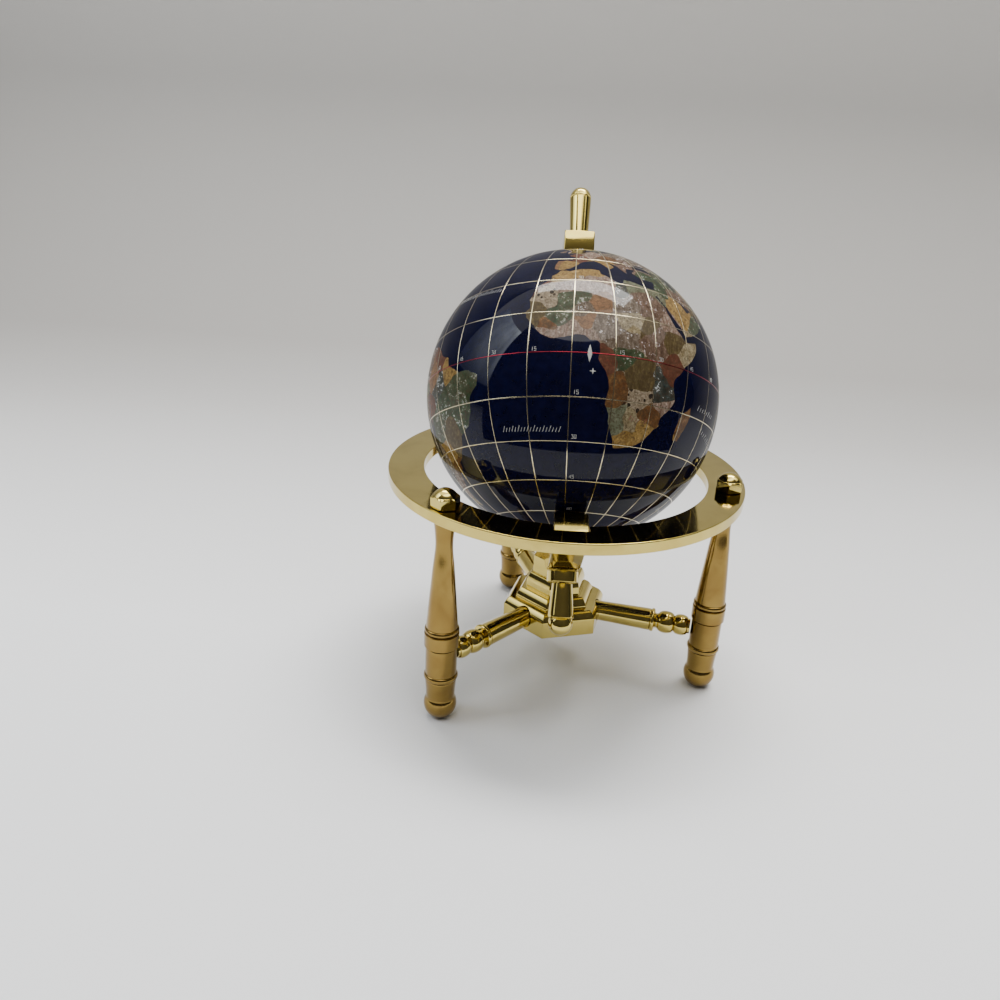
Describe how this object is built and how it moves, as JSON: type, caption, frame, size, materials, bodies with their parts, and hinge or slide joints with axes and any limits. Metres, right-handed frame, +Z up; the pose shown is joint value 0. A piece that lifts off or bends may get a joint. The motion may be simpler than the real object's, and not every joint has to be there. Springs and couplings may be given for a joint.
{
  "type": "gemstone globe",
  "caption": "Small desk globe: a dark stone ball inlaid with a stone map and gold wires, tilted in a C-shaped arm on a flat horizon ring with turned legs, stretchers and a stepped hub.",
  "frame": {"origin": "on the floor, under the middle of the horizon ring", "axes": "+Z up; the front of the stand, where the arm's lower end shows on the ring, faces -Y; +X is to the right seen from the front"},
  "size_m": [0.1136, 0.1136, 0.1551],
  "materials": {
    "gold_plate": "polished gold plate",
    "lapis": "polished dark blue stone",
    "land_stone": "polished mosaic of mixed stones",
    "inlay_wire": "polished wire",
    "inlay_paint": "pale filled lines and marks under the polish"
  },
  "bodies": {
    "stand": {"meridian_arm": "gold_plate", "north_finial": "gold_plate", "north_washer": "gold_plate", "south_finial": "gold_plate", "south_washer": "gold_plate", "south_collar": "gold_plate", "horizon_ring": "gold_plate", "front_left_leg": "gold_plate", "front_left_nut": "gold_plate", "front_left_stretcher": "gold_plate", "front_right_leg": "gold_plate", "front_right_nut": "gold_plate", "front_right_stretcher": "gold_plate", "back_leg": "gold_plate", "back_nut": "gold_plate", "back_stretcher": "gold_plate", "hub": "gold_plate"},
    "globe": {"globe_ball": "lapis"}
  },
  "joints": [
    {"name": "globe_spin", "type": "hinge", "parent": "stand", "child": "globe", "pos_m": [0, 0, 0.09464], "axis": [-0.0347, 0.5228, 0.8517], "continuous": true}
  ]
}
